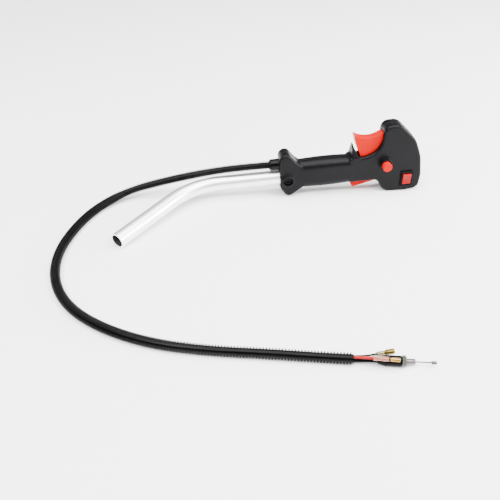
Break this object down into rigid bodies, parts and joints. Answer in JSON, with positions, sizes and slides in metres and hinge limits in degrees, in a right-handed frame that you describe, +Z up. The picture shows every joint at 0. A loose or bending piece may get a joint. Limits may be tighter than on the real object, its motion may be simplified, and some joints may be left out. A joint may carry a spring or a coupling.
{
  "type": "brush cutter throttle handle",
  "caption": "Two-half pistol throttle handle with finger trigger, lock-off lever, lock button and rocker stop switch on a bent handlebar tube, with corrugated cable conduit.",
  "frame": {"origin": "floor level, under the centre of the box of the handle and its tube as they rest", "axes": "+X along the handle from its tube towards its head, +Z up with the trigger on top, -Y the side of the button and the switch"},
  "size_m": [0.466, 0.333, 0.0957],
  "materials": {
    "shell_plastic": "fine texture",
    "screw_steel": "zinc plated",
    "tube_aluminium": "satin anodised",
    "conduit_plastic": "satin",
    "cable_rubber": "satin",
    "brass": "plain",
    "wire_steel": "stranded",
    "lead_black": "satin",
    "lead_red": "satin",
    "red_plastic": "satin",
    "red_gloss": "gloss",
    "spring_steel": "plain",
    "switch_plastic": "semi-gloss",
    "boot_rubber": "matt",
    "zinc_steel": "zinc plated",
    "sleeve_pink": "clear vinyl",
    "sleeve_yellow": "clear vinyl"
  },
  "bodies": {
    "handle": {"front_shell": "shell_plastic", "rear_shell": "shell_plastic", "case_screws": "screw_steel", "handlebar_tube": "tube_aluminium", "clamp_bolt": "screw_steel", "clamp_nut": "screw_steel", "conduit_gland": "conduit_plastic", "cable_outer": "cable_rubber", "cable_ferrule": "brass", "switch_leads": "lead_black", "trigger_pin": "screw_steel", "trigger_spring": "spring_steel", "lock_lever_pin": "screw_steel", "lever_spring": "spring_steel", "button_spring": "spring_steel", "switch_body": "switch_plastic", "rocker_pin": "screw_steel", "switch_terminals": "brass", "conduit": "conduit_plastic", "cable_outer_end": "cable_rubber", "cable_boot": "boot_rubber", "cable_adjuster": "zinc_steel", "adjuster_nut": "zinc_steel", "red_wire": "lead_red", "red_sleeve": "sleeve_pink", "bullet_male": "brass", "black_wire": "lead_black", "black_sleeve": "sleeve_yellow", "bullet_female": "brass"},
    "trigger": {"throttle_trigger": "red_plastic"},
    "trigger_cable_wire": {"trigger_wire": "wire_steel", "trigger_nipple": "brass"},
    "carburettor_wire": {"carb_wire": "wire_steel", "end_nipple": "zinc_steel"},
    "lever": {"lock_lever": "red_plastic"},
    "button": {"lock_button": "red_plastic", "button_clip": "spring_steel"},
    "rocker": {"switch_rocker": "red_gloss"}
  },
  "joints": [
    {"name": "trigger_pivot", "type": "hinge", "parent": "handle", "child": "trigger", "pos_m": [0.14755, 0.0445, 0.07955], "axis": [0, -1, 0], "range_deg": [0, 22], "stiffness_Nm_per_rad": 0.6, "springref_deg": -17.19, "deforming": ["trigger_spring"]},
    {"name": "trigger_wire_slide", "type": "slide", "parent": "handle", "child": "trigger_cable_wire", "axis": [0.9985, 0, 0.0541], "range_m": [0, 0.0125]},
    {"name": "carb_wire_slide", "type": "slide", "parent": "handle", "child": "carburettor_wire", "axis": [-0.9849, 0.1729, 0], "range_m": [0, 0.0125]},
    {"name": "lock_lever_pivot", "type": "hinge", "parent": "handle", "child": "lever", "pos_m": [0.13458, 0.0445, 0.02326], "axis": [0, 1, 0], "range_deg": [0, 14], "stiffness_Nm_per_rad": 0.3, "springref_deg": -17.19, "deforming": ["lever_spring"]},
    {"name": "lock_button_slide", "type": "slide", "parent": "handle", "child": "button", "axis": [0, 1, 0], "range_m": [0, 0.004], "stiffness_N_per_m": 500, "springref_m": -0.003, "deforming": ["button_spring"]},
    {"name": "rocker_pivot", "type": "hinge", "parent": "handle", "child": "rocker", "pos_m": [0.18035, 0.0319, 0.01943], "axis": [-0.9985, 0, -0.0541], "range_deg": [0, 16]}
  ],
  "couplings": [
    {"joint": "trigger_wire_slide", "follows": "trigger_pivot", "m_per_rad": 0.03224},
    {"joint": "carb_wire_slide", "follows": "trigger_pivot", "m_per_rad": 0.03224}
  ]
}
